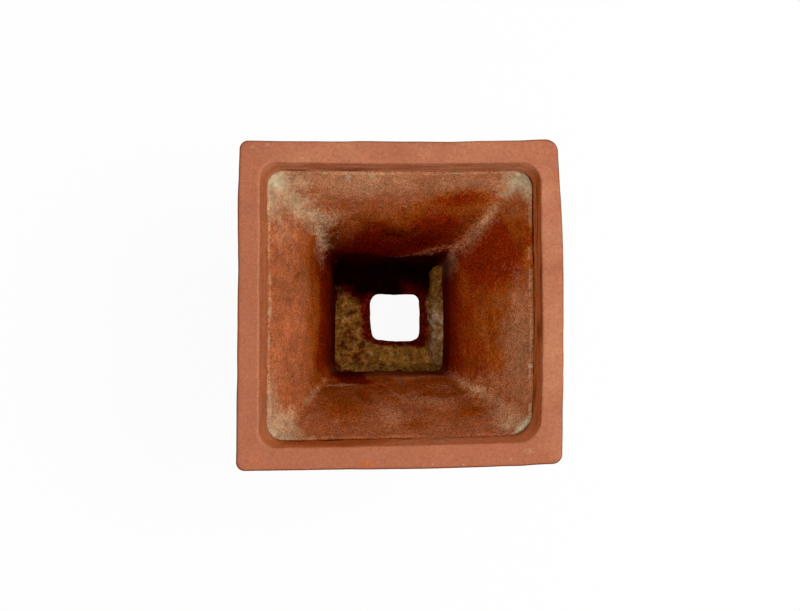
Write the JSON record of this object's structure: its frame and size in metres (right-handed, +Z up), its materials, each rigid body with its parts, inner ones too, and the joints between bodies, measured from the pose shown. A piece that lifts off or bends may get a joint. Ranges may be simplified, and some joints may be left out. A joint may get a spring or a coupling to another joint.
{
  "type": "mini bonsai pot",
  "caption": "Square unglazed clay bonsai pot with a flat rim, flared mouth, deep shaft, square drain hole and bracket feet, luted from separate clay slabs and coils.",
  "frame": {"origin": "on the ground, under the middle of the drain hole", "axes": "+Z up, +X to the right and +Y to the top of the picture, which looks straight down"},
  "size_m": [0.064, 0.064, 0.066],
  "materials": {
    "rim_clay": "unglazed fired clay, dry and dusty",
    "wall_clay": "unglazed fired clay with water stains",
    "coil_clay": "unglazed fired clay with pale mineral bloom",
    "floor_clay": "unglazed fired clay under a rough mineral crust",
    "foot_clay": "unglazed fired clay, smooth"
  },
  "bodies": {
    "root": {"rim_frame": "rim_clay", "front_wall": "wall_clay", "right_wall": "wall_clay", "back_wall": "wall_clay", "left_wall": "wall_clay", "seam_coil_back_right": "coil_clay", "seam_coil_back_left": "coil_clay", "seam_coil_front_left": "coil_clay", "seam_coil_front_right": "coil_clay", "floor_slab": "floor_clay", "floor_coil_front": "coil_clay", "floor_coil_right": "coil_clay", "floor_coil_back": "coil_clay", "floor_coil_left": "coil_clay", "foot_back_right": "foot_clay", "foot_back_left": "foot_clay", "foot_front_left": "foot_clay", "foot_front_right": "foot_clay"}
  },
  "joints": []
}
